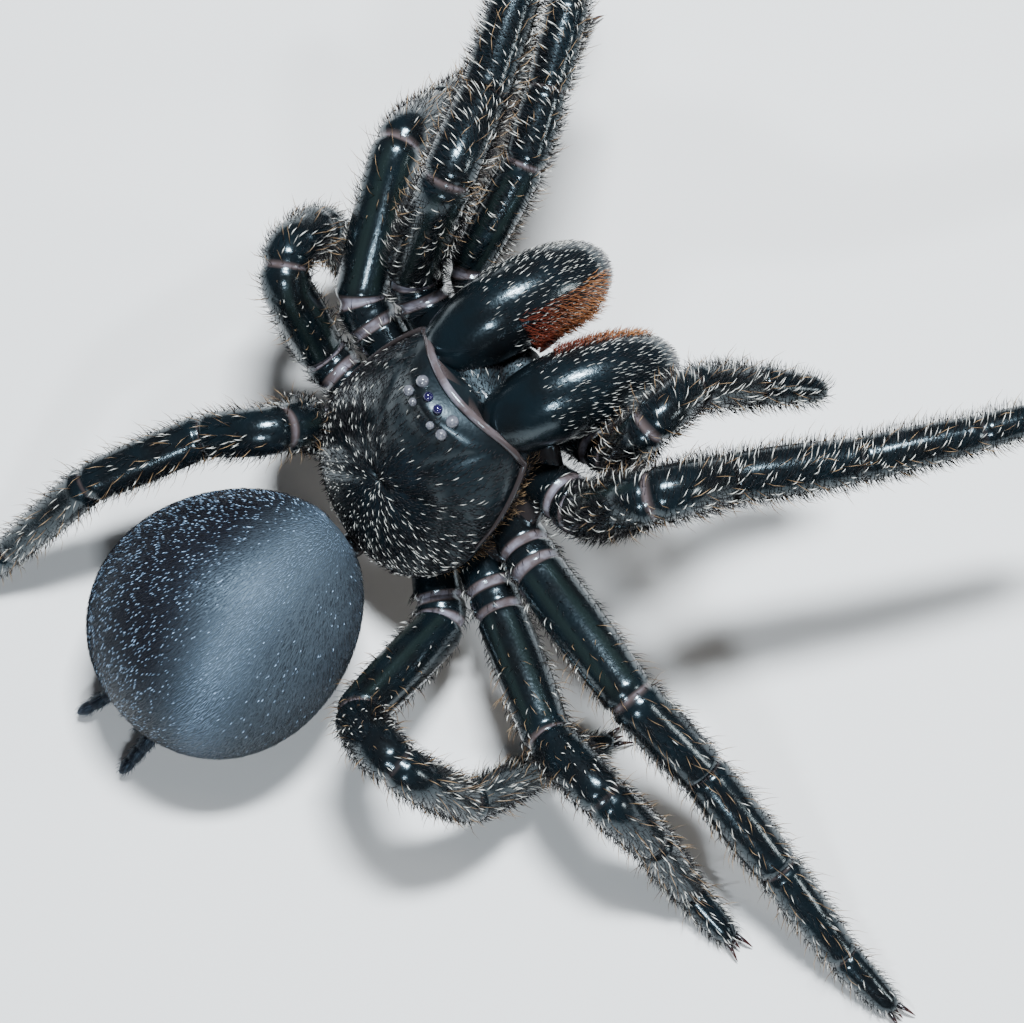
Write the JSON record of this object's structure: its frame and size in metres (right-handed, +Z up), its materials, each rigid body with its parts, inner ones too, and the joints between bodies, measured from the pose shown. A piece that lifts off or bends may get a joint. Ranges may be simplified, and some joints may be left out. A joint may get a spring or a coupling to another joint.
{
  "type": "funnel-web spider",
  "caption": "Life-size still model of a black funnel-web spider reared in threat, front legs and palps raised over arched fanged chelicerae.",
  "frame": {"origin": "middle of the small flat under the abdomen, at floor level", "axes": "+Z up, -Y towards the head, +X the spider's left"},
  "size_m": [0.0394, 0.0349, 0.0154],
  "materials": {
    "cuticle": "glossy",
    "velvet": "short velvety pile",
    "fang": "glossy",
    "eye": "wet, glossy"
  },
  "bodies": {
    "root": {"carapace": "cuticle", "sternum": "cuticle", "pedicel": "cuticle", "abdomen": "velvet", "spinneret_long_left": "velvet", "spinneret_long_right": "velvet", "spinneret_short_left": "velvet", "spinneret_short_right": "velvet", "chelicera_left": "cuticle", "chelicera_right": "cuticle", "fang_left": "fang", "fang_right": "fang", "eye_front_middle_left": "eye", "eye_front_middle_right": "eye", "eye_front_side_left": "eye", "eye_front_side_right": "eye", "eye_rear_middle_left": "eye", "eye_rear_middle_right": "eye", "eye_rear_side_left": "eye", "eye_rear_side_right": "eye", "leg_left_1_coxa_trochanter": "cuticle", "leg_left_1_femur": "cuticle", "leg_left_1_patella_tibia": "cuticle", "leg_left_1_metatarsus_tarsus": "cuticle", "leg_left_2_coxa_trochanter": "cuticle", "leg_left_2_femur": "cuticle", "leg_left_2_patella_tibia": "cuticle", "leg_left_2_metatarsus_tarsus": "cuticle", "leg_left_3_coxa_trochanter": "cuticle", "leg_left_3_femur": "cuticle", "leg_left_3_patella_tibia": "cuticle", "leg_left_3_metatarsus_tarsus": "cuticle", "leg_left_4_coxa_trochanter": "cuticle", "leg_left_4_femur": "cuticle", "leg_left_4_patella_tibia": "cuticle", "leg_left_4_metatarsus_tarsus": "cuticle", "leg_right_1_coxa_trochanter": "cuticle", "leg_right_1_femur": "cuticle", "leg_right_1_patella_tibia": "cuticle", "leg_right_1_metatarsus_tarsus": "cuticle", "leg_right_2_coxa_trochanter": "cuticle", "leg_right_2_femur": "cuticle", "leg_right_2_patella_tibia": "cuticle", "leg_right_2_metatarsus_tarsus": "cuticle", "leg_right_3_coxa_trochanter": "cuticle", "leg_right_3_femur": "cuticle", "leg_right_3_patella_tibia": "cuticle", "leg_right_3_metatarsus_tarsus": "cuticle", "leg_right_4_coxa_trochanter": "cuticle", "leg_right_4_femur": "cuticle", "leg_right_4_patella_tibia": "cuticle", "leg_right_4_metatarsus_tarsus": "cuticle", "palp_left_coxa_trochanter": "cuticle", "palp_left_femur": "cuticle", "palp_left_patella_tibia": "cuticle", "palp_left_tarsus": "cuticle", "palp_right_coxa_trochanter": "cuticle", "palp_right_femur": "cuticle", "palp_right_patella_tibia": "cuticle", "palp_right_tarsus": "cuticle"}
  },
  "joints": []
}
